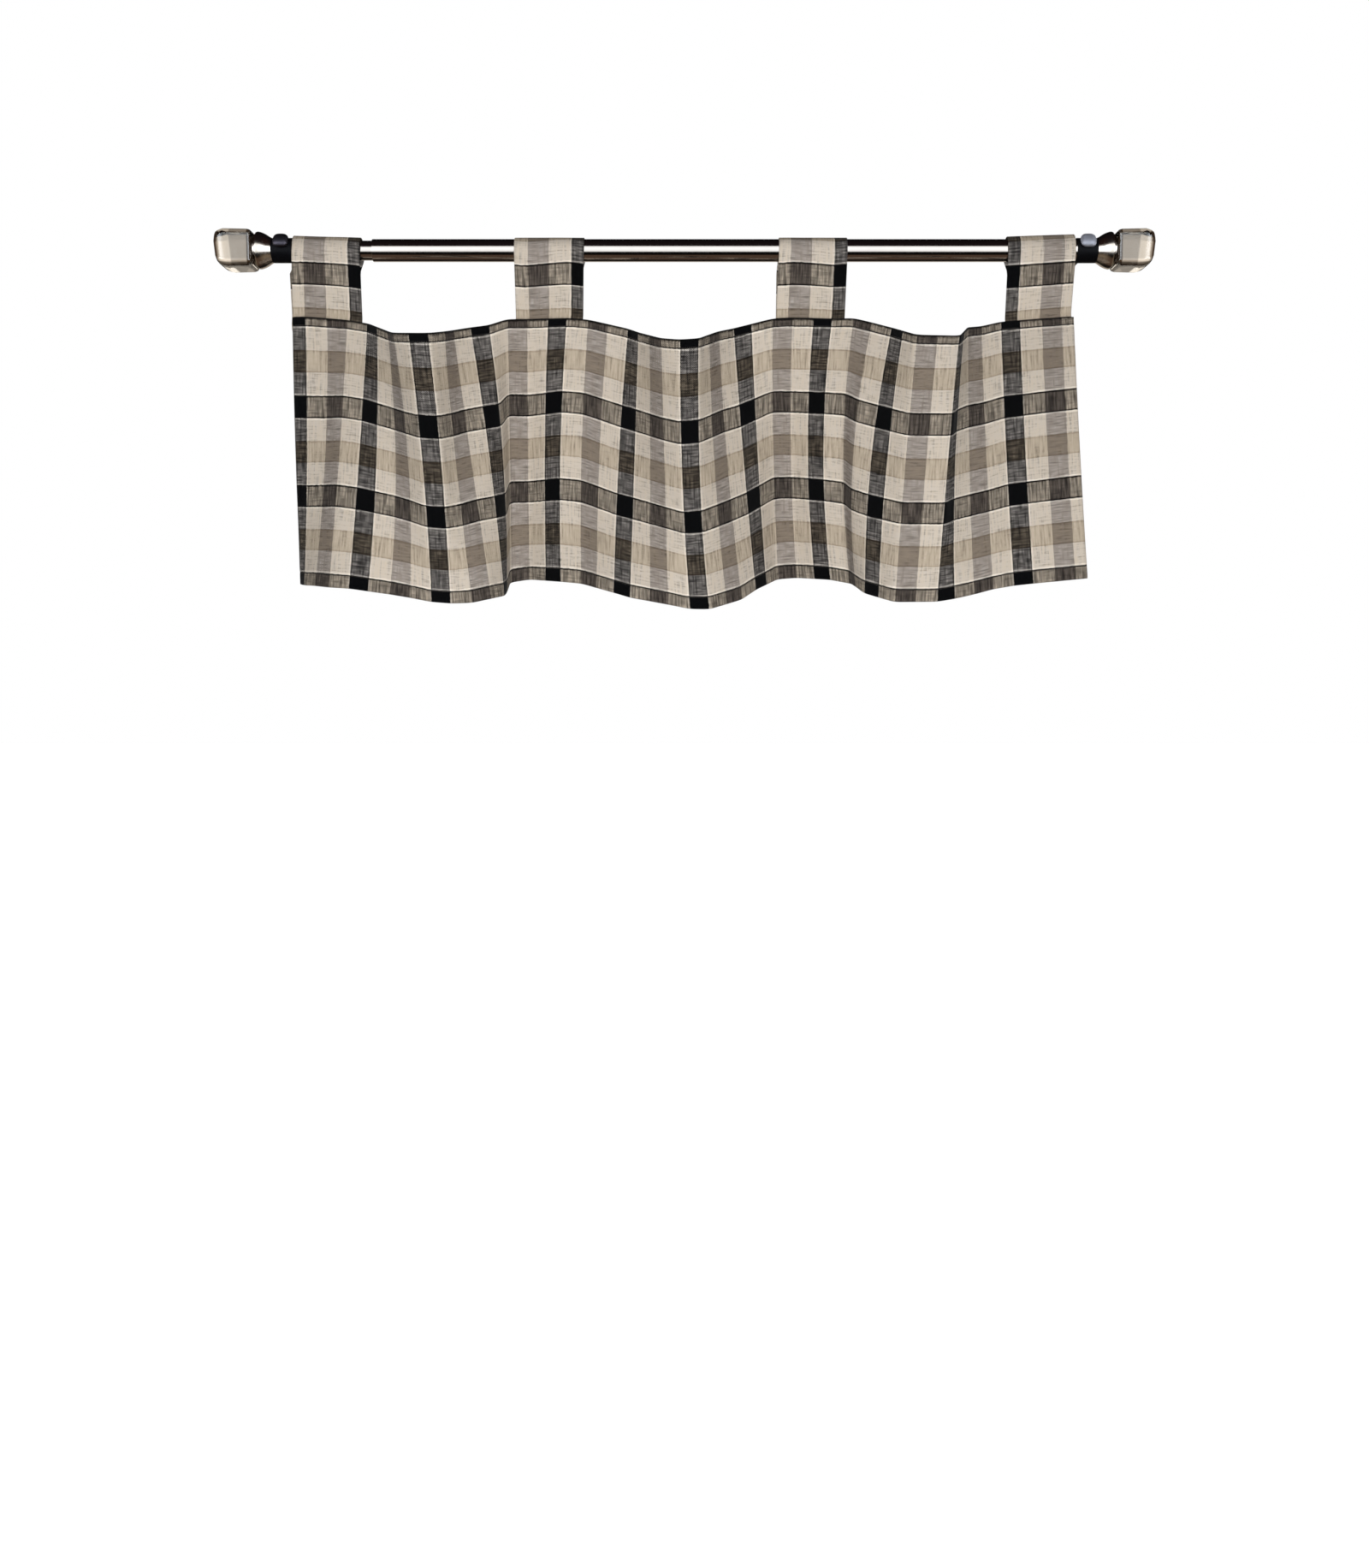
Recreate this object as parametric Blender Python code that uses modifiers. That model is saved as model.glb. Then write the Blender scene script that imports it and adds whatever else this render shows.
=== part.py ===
"""Tab top window valance hanging from a telescoping curtain rod.

Frame: +X along the rod, -Y towards the room, +Z up. The origin is on the wall plane (Y = 0), at the height
of the rod's axis, midway between the two brackets. Lengths are in metres.
"""

import math

import bmesh
import bpy
import numpy as np
from mathutils import Matrix

MM = 0.001
GAP = 0.3 * MM

# Rod and brackets
ROD_PROJECTION = 100 * MM
OUTER_TUBE_OD = 28 * MM
OUTER_TUBE_ID = 25 * MM
INNER_TUBE_OD = 24.4 * MM
INNER_TUBE_ID = 22 * MM
STEP_X = -404 * MM
OVERLAP_LENGTH = 200 * MM
BRACKET_X = 520 * MM
RING_LENGTH = 26.5 * MM
RING_OD = 31 * MM
ARM_RADIUS = 4 * MM
PLATE_WIDTH = 16 * MM
PLATE_THICKNESS = 3 * MM
PLATE_HEIGHT = 64 * MM
SCREW_HOLE_Z = 22 * MM
SCREW_HOLE_RADIUS = 2.5 * MM
SET_SCREW_ANGLE = 30
SET_SCREW_RADIUS = 10.5 * MM
SET_SCREW_HEIGHT = 7 * MM
SHANK_RADIUS = 2.5 * MM

# Finials
COLLAR_X = 533.6 * MM
COLLAR_LENGTH = 22.5 * MM
COLLAR_BORE_DEPTH = 18 * MM
CRYSTAL_LENGTH = 53 * MM
CRYSTAL_WIDTH = 48 * MM
CRYSTAL_BASE_WIDTH = 46 * MM
CRYSTAL_END_CUT = 16 * MM
CRYSTAL_SIDE_CUT = 8 * MM
CRYSTAL_BASE_CUT = 6 * MM
CRYSTAL_LEAN = 5 * MM

# Flat steps round the rod and its rings, and round the thinner arms, screws and holes
TUBE_STEPS = 40
ARM_STEPS = 24

# Cloth
PANEL_WIDTH = 1321.5 * MM
PANEL_DROP = 350 * MM
CLOTH = 2 * MM
TAB_CLOTH = 1.5 * MM
TAB_SEAM = 15 * MM
TAB_GAP = 1.2 * MM
TAB_SLACK = 0.5 * MM
PANEL_CELLS = (120, 12)
TAB_BEND = 7 * MM
TAB_CELLS_ACROSS = 8
TAB_ARC_CELLS = 10
TAB_LEG_CELLS = 3
SOFT_CREASE = 9 * MM
SOFT_SAG = 12 * MM

# How the panel hangs. Each row is the strip of cloth between two creases, from the left side hem to the right
# one. "top", "middle" and "hem" are the strip's headings at those heights in degrees: 0 runs along the rod,
# + comes towards the room. "sag" and "hem_sag" are how far below the rod's axis the top edge and the hem
# hang at the strip's right end, and "rise" is how far the middle of the drop hangs above the straight line
# between the two. Widths, sags and rises are in millimetres.
HANG_COLUMNS = ("width", "top", "middle", "hem", "sag", "hem_sag", "rise")
HANG_ROWS = (
    (17, 0, 15, 60, 80, 428, -2),
    (29.5, 0, 20, 50, 82, 430, -1),
    (27, 0, 35, 35, 84, 433, 0),
    (29.5, 5, 10, 15, 89, 435, -1),
    (55.5, 48, 10, -10, 108, 442, -1),
    (27, 65, 40, -15, 115, 446, -3),
    (29.5, 35, 40, 0, 119, 452, -7),
    (26, 10, 0, 10, 120, 454, -7),
    (29.5, -50, -60, 0, 113, 453, -4),
    (27, -75, -45, -25, 106, 447, -2),
    (29.5, -45, -35, -60, 98, 442, -2),
    (26, -20, -55, -90, 93, 437, -1),
    (29.5, -30, -80, -85, 82, 421, 5),
    (27, -10, -15, 5, 81, 417, 3),
    (55.5, 10, 30, 35, 82, 422, 7),
    (29.5, -15, 0, 15, 82, 425, 6),
    (56.5, -5, 20, 35, 93, 439, -2),
    (26, 55, 25, 25, 102, 446, -1),
    (56.5, 55, 40, 20, 119, 456, -4),
    (29.5, 30, 35, 10, 124, 462, -7),
    (26, -15, -25, -15, 121, 462, -5),
    (56.5, -60, -45, -35, 102, 448, -2),
    (29.5, -45, -35, -45, 94, 434, -3),
    (55.5, 5, -40, -55, 82, 417, 8),
    (27, 10, -15, 0, 82, 415, 8),
    (55.5, -10, 40, 40, 81, 420, 2),
    (29.5, 15, 20, 30, 82, 426, 1),
    (27, 25, 70, 80, 90, 432, -4),
    (29.5, 20, 35, 70, 99, 442, -4),
    (55.5, 60, 40, 50, 118, 455, -3),
    (56.5, 0, 5, -10, 119, 454, -4),
    (26, -70, -60, -15, 109, 450, -3),
    (29.5, -70, -35, -15, 98, 444, -4),
    (27, -35, -20, -15, 93, 437, -4),
    (29.5, -10, -10, -10, 86, 432, -1),
    (98.5, 0, 0, -5, 79, 422, 2),
)
LEFT_SAG = 80 * MM
LEFT_HEM_SAG = 426 * MM
LEFT_RISE = -2 * MM

# Where the two side hems hang: x, and how far in front of the rod's axis the left one is.
LEVEL_COLUMNS = ("heading", "left_x", "right_x", "left_out")
LEVELS = (
    ("top", -515 * MM, 512 * MM, -22 * MM),
    ("middle", -518 * MM, 516 * MM, -38 * MM),
    ("hem", -518 * MM, 527 * MM, -51 * MM),
)

# The tabs, left to right: centre on the rod and width, then for the left and the right edge "lean", which is
# how far the foot is to the left of the top, and "lift", which is how far the loop stands above a snug fit.
TAB_COLUMNS = ("name", "centre_x", "width", "lean_left", "lean_right", "lift_left", "lift_right")
TABS = (
    ("tab_1", -462 * MM, 86 * MM, 12 * MM, 6 * MM, 2.5 * MM, 0 * MM),
    ("tab_2", -174.5 * MM, 89 * MM, 3.5 * MM, 4.5 * MM, 0 * MM, 0 * MM),
    ("tab_3", 166 * MM, 87 * MM, 1.5 * MM, -1.5 * MM, 0 * MM, 0 * MM),
    ("tab_4", 460.5 * MM, 86 * MM, -6 * MM, -6 * MM, 1.5 * MM, 4.5 * MM),
)

# The collar's outer side, as (radius, distance from the ring) from its outer end inwards, in millimetres.
COLLAR_OUTLINE = ((19.5, 22.5), (21.5, 20.5), (23.2, 18), (22.8, 14.5), (21, 10), (18.5, 5.5), (15.5, 0))

ROD_Y = -ROD_PROJECTION


def rows_as_dicts(columns, rows):
    return [dict(zip(columns, row)) for row in rows]


def smooth(values, reach, step):
    """Average over a window of +-reach with a cosine weight."""
    cells = round(reach / step)
    weights = 1 + np.cos(np.pi * np.arange(-cells, cells + 1) / (cells + 1))
    padded = np.pad(values, cells, mode="edge")
    return np.convolve(padded, weights / weights.sum(), mode="valid")


class Hang:
    """The surface that the panel's middle layer follows, read by cloth position."""

    STEP = 1 * MM

    def __init__(self):
        self.rows = rows_as_dicts(HANG_COLUMNS, HANG_ROWS)
        self.ends = np.cumsum([row["width"] * MM for row in self.rows])
        self.at = np.arange(round(PANEL_WIDTH / self.STEP) + 1) * self.STEP
        self.sag = self.soft_profile("sag", LEFT_SAG)
        self.hem_sag = self.soft_profile("hem_sag", LEFT_HEM_SAG)
        self.rise = self.soft_profile("rise", LEFT_RISE)
        self.lines = [self.level_line(level) for level in rows_as_dicts(LEVEL_COLUMNS, LEVELS)]

    def soft_profile(self, column, first):
        values = [first] + [row[column] * MM for row in self.rows]
        return smooth(np.interp(self.at, np.append(0.0, self.ends), values), SOFT_SAG, self.STEP)

    def level_line(self, level):
        """(x, out) along one height, running from the left side hem and stretched to end at the right one."""
        strip = np.minimum(np.searchsorted(self.ends, self.at, side="right"), len(self.rows) - 1)
        headings = np.radians([row[level["heading"]] for row in self.rows])[strip]
        along = smooth(np.cos(headings), SOFT_CREASE, self.STEP)
        outward = smooth(np.sin(headings), SOFT_CREASE, self.STEP)
        run = self.STEP * np.sqrt(1 - (np.diff(self.sag) / self.STEP) ** 2)
        x = np.append(0.0, np.cumsum(run * (along[1:] + along[:-1]) / 2))
        out = np.append(0.0, np.cumsum(run * (outward[1:] + outward[:-1]) / 2)) + level["left_out"]
        x = level["left_x"] + x * (level["right_x"] - level["left_x"]) / x[-1]
        return x, out

    def points(self, u, v):
        """The hanging places of the cloth at u from its left side and v below its top edge."""
        u, v = np.broadcast_arrays(np.asarray(u, float), np.asarray(v, float))
        t = v / PANEL_DROP
        weights = (2 * (t - 0.5) * (t - 1), 4 * t * (1 - t), 2 * t * (t - 0.5))
        x = sum(w * np.interp(u, self.at, line[0]) for w, line in zip(weights, self.lines))
        out = sum(w * np.interp(u, self.at, line[1]) for w, line in zip(weights, self.lines))
        sag = np.interp(u, self.at, self.sag) * (1 - t) + np.interp(u, self.at, self.hem_sag) * t
        sag -= weights[1] * np.interp(u, self.at, self.rise)
        return np.stack([x, ROD_Y - out, -sag], axis=-1)

    def u_at_top(self, x):
        """The cloth position whose top edge hangs at this x."""
        return np.interp(x, self.lines[0][0], self.at)


def clear_scene():
    for obj in list(bpy.data.objects):
        bpy.data.objects.remove(obj, do_unlink=True)


def new_collection(name, hidden=False):
    collection = bpy.data.collections.new(name)
    bpy.context.scene.collection.children.link(collection)
    collection.hide_render = hidden
    return collection


def material(name, color, roughness, metallic=0.0, transmission=0.0):
    made = bpy.data.materials.new(name)
    made.use_nodes = True
    shader = made.node_tree.nodes["Principled BSDF"]
    shader.inputs["Base Color"].default_value = (*color, 1.0)
    shader.inputs["Roughness"].default_value = roughness
    shader.inputs["Metallic"].default_value = metallic
    shader.inputs["Transmission Weight"].default_value = transmission
    return made


def add_object(name, mesh, surface, collection, location=(0, 0, 0)):
    obj = bpy.data.objects.new(name, mesh)
    obj.location = location
    if surface:
        mesh.materials.append(surface)
    collection.objects.link(obj)
    return obj


def finish_mesh(bm, name, smooth_angle=None):
    mesh = bpy.data.meshes.new(name)
    bmesh.ops.recalc_face_normals(bm, faces=bm.faces)
    bm.to_mesh(mesh)
    bm.free()
    if smooth_angle:
        mesh.shade_smooth()
        mesh.set_sharp_from_angle(angle=math.radians(smooth_angle))
    return mesh


def build_sheet(name, places, thickness, surface, collection):
    """Cloth of one thickness, on middle points given as an array of columns, each from top to bottom."""
    columns, rows = places.shape[0] - 1, places.shape[1] - 1
    bm = bmesh.new()
    bmesh.ops.create_grid(bm, x_segments=columns, y_segments=rows, size=1.0)
    for vertex in bm.verts:
        column = round((1 + vertex.co.x) / 2 * columns)
        row = round((1 - vertex.co.y) / 2 * rows)
        vertex.co = places[column, row]
    mesh = bpy.data.meshes.new(name)
    bm.to_mesh(mesh)
    bm.free()
    mesh.shade_smooth()
    solidify = add_object(name, mesh, surface, collection).modifiers.new("Thickness", "SOLIDIFY")
    solidify.thickness = thickness
    solidify.offset = 0.0
    solidify.use_even_offset = False


def build_panel(hang, surface, collection):
    columns, rows = PANEL_CELLS
    u = np.linspace(0.0, PANEL_WIDTH, columns + 1)[:, None]
    v = np.linspace(0.0, PANEL_DROP, rows + 1)
    build_sheet("valance_panel", hang.points(u, v), CLOTH, surface, collection)


def tab_stations(loop_radius, lift, feet_out, foot_z):
    """Stations (out, z) round the loop, from the front layer's bend over the rod to the back layer's bend."""
    front_out, back_out = feet_out
    bend_z = foot_z + TAB_BEND
    leaves_rod = math.atan2(bend_z, front_out) + math.acos(loop_radius / math.hypot(front_out, bend_z))
    angles = np.linspace(leaves_rod, math.pi, TAB_ARC_CELLS + 1)
    loop_z = loop_radius * np.sin(angles) + lift * np.maximum(np.sin(angles), 0.0)
    loop = np.column_stack([loop_radius * np.cos(angles), loop_z])
    shares = np.linspace(0.0, 1.0, TAB_LEG_CELLS + 1)[:-1, None]
    front_bend = np.array([front_out, bend_z])
    back_bend = np.array([back_out, bend_z])
    front = front_bend + (loop[0] - front_bend) * shares
    back = back_bend + (loop[-1] - back_bend) * shares
    return np.concatenate([front, loop, back[::-1]])


def tab_strip(tab, hang, across):
    """Every station of one tab's strip of cloth, at this share of its width."""
    loop_radius = OUTER_TUBE_OD / 2 + TAB_SLACK + TAB_CLOTH / 2
    front_gap = CLOTH / 2 + TAB_GAP + TAB_CLOTH / 2
    back_gap = front_gap + TAB_GAP + TAB_CLOTH
    lift = tab["lift_left"] + (tab["lift_right"] - tab["lift_left"]) * across
    lean = tab["lean_left"] + (tab["lean_right"] - tab["lean_left"]) * across
    top_x = tab["centre_x"] + (across - 0.5) * tab["width"]
    foot_x = top_x - lean
    seam, foot = hang.points(hang.u_at_top(foot_x), (0.0, TAB_SEAM))
    foot[0] += foot_x - seam[0]
    seam_out = ROD_Y - seam[1]
    stations = tab_stations(loop_radius, lift, (seam_out - front_gap, seam_out - back_gap), seam[2])
    highest = stations[:, 1].argmax()
    share = np.clip(stations[:, 1] / seam[2], 0.0, 1.0)
    share[highest:] = np.clip(-stations[highest:, 1] / loop_radius - 0.5, 0.0, 1.0)
    x = top_x + (foot_x - top_x) * share
    loop = np.column_stack([x, ROD_Y - stations[:, 0], stations[:, 1]])
    return np.concatenate([[foot + (0, front_gap, 0)], loop, [foot + (0, back_gap, 0)]])


def build_tab(tab, hang, surface, collection):
    shares = np.linspace(0.0, 1.0, TAB_CELLS_ACROSS + 1)
    strips = np.array([tab_strip(tab, hang, share) for share in shares])
    build_sheet(tab["name"], strips, TAB_CLOTH, surface, collection)


def turned_object(name, outline, closed, steps, surface, collection):
    """A profile of (radius, height) pairs, in metres, turned round its own Z axis by a Screw modifier."""
    bm = bmesh.new()
    verts = [bm.verts.new((radius, 0, height)) for radius, height in outline]
    pairs = list(zip(verts, verts[1:]))
    if closed:
        pairs.append((verts[-1], verts[0]))
    for a, b in pairs:
        bm.edges.new((a, b))
    mesh = bpy.data.meshes.new(name)
    bm.to_mesh(mesh)
    bm.free()
    obj = add_object(name, mesh, surface, collection)
    screw = obj.modifiers.new("Turned", "SCREW")
    screw.axis = "Z"
    screw.steps = steps
    screw.render_steps = steps
    screw.use_smooth_shade = True
    screw.use_merge_vertices = True
    screw.merge_threshold = 0.01 * MM
    return obj


def lay_along_rod(obj, x, side):
    """Turn an object's own Z axis to point outwards along the rod, at x from the middle."""
    obj.rotation_euler = (0, side * math.pi / 2, 0)
    obj.location = (side * x, ROD_Y, 0)


def build_tube(name, od, bore, start_x, end_x, surface, collection):
    half = (end_x - start_x) / 2
    outline = ((od / 2, half), (od / 2, -half), (bore / 2, -half), (bore / 2, half))
    tube = turned_object(name, outline, True, TUBE_STEPS, surface, collection)
    lay_along_rod(tube, (start_x + end_x) / 2, 1)


def cylinder_mesh(name, radius, depth, segments=TUBE_STEPS):
    bm = bmesh.new()
    bmesh.ops.create_cone(
        bm, cap_ends=True, segments=segments, radius1=radius, radius2=radius, depth=depth
    )
    return finish_mesh(bm, name, smooth_angle=30)


def combine(obj, name, mesh, matrix, operation, cutters):
    """Join a helper mesh to the object, or cut it away, with a Boolean modifier."""
    helper = add_object(f"{obj.name}_{name}", mesh, None, cutters)
    helper.matrix_world = matrix
    helper.hide_render = True
    helper.display_type = "WIRE"
    boolean = obj.modifiers.new(name, "BOOLEAN")
    boolean.operation = operation
    boolean.object = helper


def build_bracket(name, side, tube_od, surface, parts, cutters):
    """Wall plate, arm and ring, with two screw holes and a hole for the set screw."""
    bm = bmesh.new()
    bmesh.ops.create_cube(bm, size=1.0)
    bmesh.ops.scale(bm, vec=(PLATE_WIDTH, PLATE_THICKNESS, PLATE_HEIGHT), verts=bm.verts)
    x = side * BRACKET_X
    plate = add_object(name, finish_mesh(bm, name, 30), surface, parts, (x, -PLATE_THICKNESS / 2, 0))
    along_x = Matrix.Rotation(math.pi / 2, 4, "Y")
    along_y = Matrix.Rotation(math.pi / 2, 4, "X")
    arm_end = ROD_PROJECTION - (tube_od / 2 + RING_OD / 2) / 2
    arm_start = PLATE_THICKNESS / 2
    arm = cylinder_mesh(f"{name}_arm", ARM_RADIUS, arm_end - arm_start, ARM_STEPS)
    arm_place = Matrix.Translation((x, -(arm_start + arm_end) / 2, 0)) @ along_y
    combine(plate, "arm", arm, arm_place, "UNION", cutters)
    at_ring = Matrix.Translation((x, ROD_Y, 0)) @ along_x
    combine(plate, "ring", cylinder_mesh(f"{name}_ring", RING_OD / 2, RING_LENGTH), at_ring, "UNION", cutters)
    bore = cylinder_mesh(f"{name}_bore", tube_od / 2 + GAP, RING_LENGTH * 2)
    combine(plate, "bore", bore, at_ring, "DIFFERENCE", cutters)
    for end, z in (("upper", SCREW_HOLE_Z), ("lower", -SCREW_HOLE_Z)):
        hole = cylinder_mesh(f"{name}_{end}", SCREW_HOLE_RADIUS, PLATE_THICKNESS * 4, ARM_STEPS)
        combine(plate, end, hole, Matrix.Translation((x, 0, z)) @ along_y, "DIFFERENCE", cutters)
    tapped = cylinder_mesh(f"{name}_tapped", SHANK_RADIUS + GAP, RING_OD, ARM_STEPS)
    place = set_screw_matrix(side) @ Matrix.Translation((0, 0, RING_OD / 2))
    combine(plate, "tapped", tapped, place, "DIFFERENCE", cutters)


def set_screw_matrix(side):
    """A frame on the rod's axis whose Z points up and towards the room, through the set screw."""
    tilt = Matrix.Rotation(math.radians(90 - SET_SCREW_ANGLE), 4, "X")
    return Matrix.Translation((side * BRACKET_X, ROD_Y, 0)) @ tilt


def build_set_screw(name, side, tube_od, surface, collection):
    seat = RING_OD / 2 + GAP
    head_top = seat + SET_SCREW_HEIGHT
    tip = tube_od / 2 + GAP
    corner = 0.25 * SET_SCREW_HEIGHT
    outline = (
        (0, head_top),
        (0.6 * SET_SCREW_RADIUS, head_top - 0.1 * SET_SCREW_HEIGHT),
        (0.9 * SET_SCREW_RADIUS, head_top - corner),
        (SET_SCREW_RADIUS, head_top - 2 * corner),
        (SET_SCREW_RADIUS, seat),
        (SHANK_RADIUS, seat),
        (SHANK_RADIUS, tip),
        (0, tip),
    )
    screw = turned_object(name, outline, False, ARM_STEPS, surface, collection)
    screw.matrix_world = set_screw_matrix(side)


def mark_cuts(bm):
    """Give each edge of the uncut block its share of the widest cut."""
    share = bm.edges.layers.float.new("bevel_weight_edge")
    for edge in bm.edges:
        middle_x = (edge.verts[0].co.x + edge.verts[1].co.x) / 2
        cut = CRYSTAL_SIDE_CUT
        if middle_x > 0.25:
            cut = CRYSTAL_END_CUT
        elif middle_x < -0.25:
            cut = CRYSTAL_BASE_CUT
        edge[share] = cut / CRYSTAL_END_CUT


def crystal_block(name, side, start_x):
    """The uncut block: narrower where it meets the collar, its outer face leaning in towards the bottom."""
    bm = bmesh.new()
    bmesh.ops.create_cube(bm, size=1.0)
    mark_cuts(bm)
    for vertex in bm.verts:
        away = vertex.co.x + 0.5
        width = CRYSTAL_BASE_WIDTH + (CRYSTAL_WIDTH - CRYSTAL_BASE_WIDTH) * away
        length = CRYSTAL_LENGTH - CRYSTAL_LEAN * (0.5 - vertex.co.z)
        x = side * (start_x + away * length)
        vertex.co = (x, ROD_Y + vertex.co.y * width, vertex.co.z * width)
    return finish_mesh(bm, name)


def build_finial(side_name, side, tube_od, metal, crystal, collection):
    bore = tube_od / 2 + GAP
    outline = [(0, COLLAR_LENGTH)] + [(r * MM, h * MM) for r, h in COLLAR_OUTLINE]
    outline += [(bore, 0), (bore, COLLAR_BORE_DEPTH), (0, COLLAR_BORE_DEPTH)]
    collar = turned_object(f"finial_collar_{side_name}", outline, False, TUBE_STEPS, metal, collection)
    lay_along_rod(collar, COLLAR_X, side)
    start_x = COLLAR_X + COLLAR_LENGTH + GAP
    name = f"finial_crystal_{side_name}"
    block = add_object(name, crystal_block(name, side, start_x), crystal, collection)
    cuts = block.modifiers.new("Cut corners", "BEVEL")
    cuts.width = CRYSTAL_END_CUT
    cuts.offset_type = "OFFSET"
    cuts.limit_method = "WEIGHT"
    cuts.segments = 2


def main():
    clear_scene()
    parts = new_collection("window_valance")
    cutters = new_collection("cutters", hidden=True)
    plaid = material("plaid_cotton", (0.55, 0.50, 0.42), 0.9)
    bronze = material("polished_dark_bronze", (0.05, 0.035, 0.03), 0.2, metallic=1.0)
    black = material("black_enamel", (0.02, 0.02, 0.022), 0.4)
    grey = material("grey_screw_metal", (0.16, 0.15, 0.17), 0.35, metallic=1.0)
    crystal = material("clear_acrylic", (0.9, 0.88, 0.85), 0.05, transmission=0.9)

    hang = Hang()
    build_panel(hang, plaid, parts)
    for tab in rows_as_dicts(TAB_COLUMNS, TABS):
        build_tab(tab, hang, plaid, parts)

    tube_end = COLLAR_X + COLLAR_BORE_DEPTH - GAP
    build_tube("rod_outer_tube", OUTER_TUBE_OD, OUTER_TUBE_ID, STEP_X, tube_end, bronze, parts)
    inner_end = STEP_X + OVERLAP_LENGTH
    build_tube("rod_inner_tube", INNER_TUBE_OD, INNER_TUBE_ID, -tube_end, inner_end, bronze, parts)
    for side_name, side, tube_od in (("left", -1, INNER_TUBE_OD), ("right", 1, OUTER_TUBE_OD)):
        build_bracket(f"bracket_{side_name}", side, tube_od, black, parts, cutters)
        build_set_screw(f"set_screw_{side_name}", side, tube_od, grey, parts)
        build_finial(side_name, side, tube_od, bronze, crystal, parts)


main()
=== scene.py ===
"""Looks of the tab top window valance: fine cloth, stitching, rod set, stage, lights and camera.

Frame, in metres: +X along the rod, -Y towards the room, +Z up. The origin is on the wall plane, at the
height of the rod's axis.
"""

import math

import bmesh
import bpy
import numpy as np
from mathutils import Matrix, Vector, noise


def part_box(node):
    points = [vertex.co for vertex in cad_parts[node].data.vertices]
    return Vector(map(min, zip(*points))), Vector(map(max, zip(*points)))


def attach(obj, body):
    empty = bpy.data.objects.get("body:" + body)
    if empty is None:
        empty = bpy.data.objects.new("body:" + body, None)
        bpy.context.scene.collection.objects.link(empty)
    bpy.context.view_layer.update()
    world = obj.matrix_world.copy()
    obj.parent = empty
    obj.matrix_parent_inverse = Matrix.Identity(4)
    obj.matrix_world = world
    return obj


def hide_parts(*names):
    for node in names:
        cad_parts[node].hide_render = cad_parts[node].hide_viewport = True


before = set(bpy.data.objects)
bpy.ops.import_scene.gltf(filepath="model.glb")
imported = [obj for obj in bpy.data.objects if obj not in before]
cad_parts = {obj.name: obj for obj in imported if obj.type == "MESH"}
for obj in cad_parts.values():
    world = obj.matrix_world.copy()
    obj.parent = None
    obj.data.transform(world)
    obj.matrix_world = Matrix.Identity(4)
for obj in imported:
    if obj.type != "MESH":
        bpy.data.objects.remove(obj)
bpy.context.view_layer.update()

MM = 0.001

# Driving sizes, as in the CAD part
GAP = 0.3 * MM
ROD_Y = -100 * MM
OUTER_TUBE_OD = 28 * MM
OUTER_TUBE_WALL = 1.5 * MM
INNER_TUBE_OD = 24.4 * MM
INNER_TUBE_WALL = 1.2 * MM
BRACKET_X = 520 * MM
COLLAR_X = 533.6 * MM
COLLAR_LENGTH = 22.5 * MM
RING_OD = 31 * MM
RING_LENGTH = 26.5 * MM
PLATE_THICKNESS = 3 * MM
SET_SCREW_ANGLE = 30
SET_SCREW_RADIUS = 11.2 * MM

PANEL_WIDTH = 1321.5 * MM
PANEL_DROP = 350 * MM
HEM_LINE = 334 * MM
HEADING_LINE = 9.5 * MM
SIDE_HEM = 7 * MM
SOFT_CREASE = 9 * MM
SOFT_SAG = 12 * MM
TAB_SEAM = 15 * MM
TAB_GAP = 1.2 * MM
TAB_BEND = 7 * MM
TAB_SLACK = 0.5 * MM

# Thickness of the cloth: as the CAD solids have it, which sets the gaps, and as it is drawn here
PANEL_SOLID = 2 * MM
TAB_SOLID = 1.5 * MM
CLOTH = 1.1 * MM
HEM_CLOTH = 2.1 * MM
TAB_CLOTH = 1.2 * MM

# The plaid's repeat, in millimetres: widths of the warp and weft stripes
CREAM_STRIPE = 29.5
GRAY_STRIPE = 27.0
BLACK_STRIPE = 26.0
TAN_BAND = 28.5
BLACK_BAND = 29.5
YARN_PITCH = 1.15

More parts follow.
